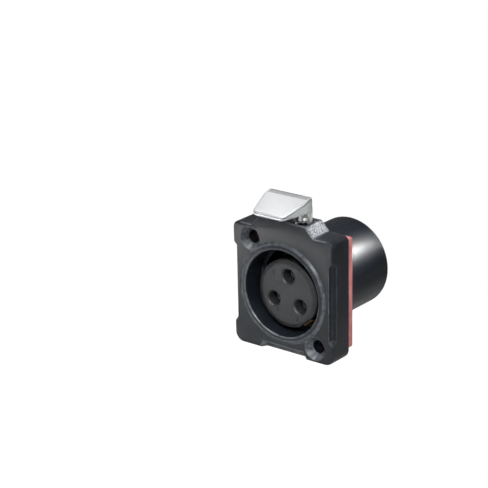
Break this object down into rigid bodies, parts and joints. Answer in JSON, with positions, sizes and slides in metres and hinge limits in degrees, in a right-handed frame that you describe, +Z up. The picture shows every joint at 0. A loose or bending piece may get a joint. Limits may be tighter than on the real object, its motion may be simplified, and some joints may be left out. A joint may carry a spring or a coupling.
{
  "type": "panel receptacle connector",
  "caption": "Square-flange panel receptacle with a recessed female contact insert, a red gasket, a round rear barrel and a press-to-release latch lever on top.",
  "frame": {"origin": "the point of the contact insert's front face that lies on the axis of the bore and the barrel", "axes": "-Y points out of the front towards the mating plug, +Y along the barrel into the panel, +Z up to the lever, +X to the right as seen from the front"},
  "size_m": [0.0294, 0.0335, 0.0396],
  "materials": {
    "black_casting": "semi-gloss black coat on a die casting",
    "red_rubber": "matt",
    "black_rubber": "matt",
    "grey_plastic": "satin, faintly speckled",
    "satin_chrome": "satin chrome plate",
    "silver_plate": "silver plate on copper alloy",
    "brass": "plain",
    "steel": "bright drawn steel"
  },
  "bodies": {
    "receptacle": {"housing": "black_casting", "panel_gasket": "red_rubber", "contact_insert": "grey_plastic", "earth_clip": "brass", "contact_1": "silver_plate", "contact_2": "silver_plate", "contact_3": "silver_plate", "contact_sleeve_1": "steel", "contact_sleeve_2": "steel", "contact_sleeve_3": "steel", "mating_seal": "black_rubber", "insert_seal": "black_rubber", "rear_insulator": "grey_plastic", "earth_washer": "brass", "retaining_nut": "black_casting", "lever_pin": "steel", "lever_spring_left": "steel", "lever_spring_right": "steel"},
    "lever": {"release_lever": "satin_chrome"}
  },
  "joints": [
    {"name": "lever_press", "type": "hinge", "parent": "receptacle", "child": "lever", "pos_m": [0, 0.00025, 0.01905], "axis": [1, 0, 0], "range_deg": [0, 12], "stiffness_Nm_per_rad": 0.005, "springref_deg": -4.58}
  ]
}
